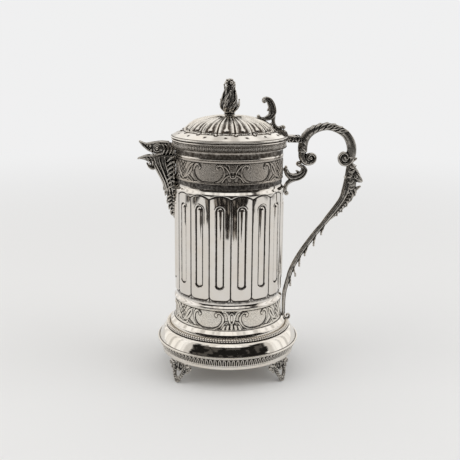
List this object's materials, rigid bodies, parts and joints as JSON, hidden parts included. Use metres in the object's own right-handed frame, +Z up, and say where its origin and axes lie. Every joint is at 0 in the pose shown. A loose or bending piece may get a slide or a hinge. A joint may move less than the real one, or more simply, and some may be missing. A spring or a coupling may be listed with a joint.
{
  "type": "silver jug with hinged lid",
  "caption": "Silver jug with a fluted upright body, bird's-head spout, scroll handle with a thumbpiece, hinged gadrooned lid with bud finial, and a moulded base on four cast feet",
  "frame": {"origin": "on the table plane under the middle of the part's length and width; the body's own axis stands 21 mm towards the spout", "axes": "+Z is up out of the body, -X points along the spout, +X towards the handle, and the front seen in the picture is -Y"},
  "size_m": [0.2123, 0.1368, 0.2785],
  "materials": {
    "polished_silver": "polished silver with a faint warm patina and fine wear scratches",
    "stippled_silver": "chased silver, bright relief on a darkened stippled ground",
    "oxidised_silver": "cast silver, dark oxidised hollows with rubbed bright ridges"
  },
  "bodies": {
    "jug": {"vessel_wall": "polished_silver", "vessel_floor": "polished_silver", "lower_frieze": "stippled_silver", "upper_frieze": "stippled_silver", "rim_moulding": "polished_silver", "plinth_moulding": "polished_silver", "bead_wire": "polished_silver", "leaf_border": "stippled_silver", "foot_front_left": "oxidised_silver", "foot_front_right": "oxidised_silver", "foot_back_left": "oxidised_silver", "foot_back_right": "oxidised_silver", "handle_grip": "oxidised_silver", "handle_bracket": "oxidised_silver", "handle_stem": "oxidised_silver", "handle_mask": "oxidised_silver", "hinge_bracket": "oxidised_silver", "hinge_pin": "polished_silver", "spout_neck": "oxidised_silver", "spout_head": "oxidised_silver", "spout_jaw": "oxidised_silver"},
    "lid": {"lid_shell": "polished_silver", "lid_bezel": "polished_silver", "lid_hinge": "oxidised_silver", "thumbpiece": "oxidised_silver", "finial_collar": "oxidised_silver", "finial_bud": "oxidised_silver"}
  },
  "joints": [
    {"name": "lid_hinge_joint", "type": "hinge", "parent": "jug", "child": "lid", "pos_m": [0.0395, 0, 0.2232], "axis": [0, 1, 0], "range_deg": [0, 82]}
  ]
}
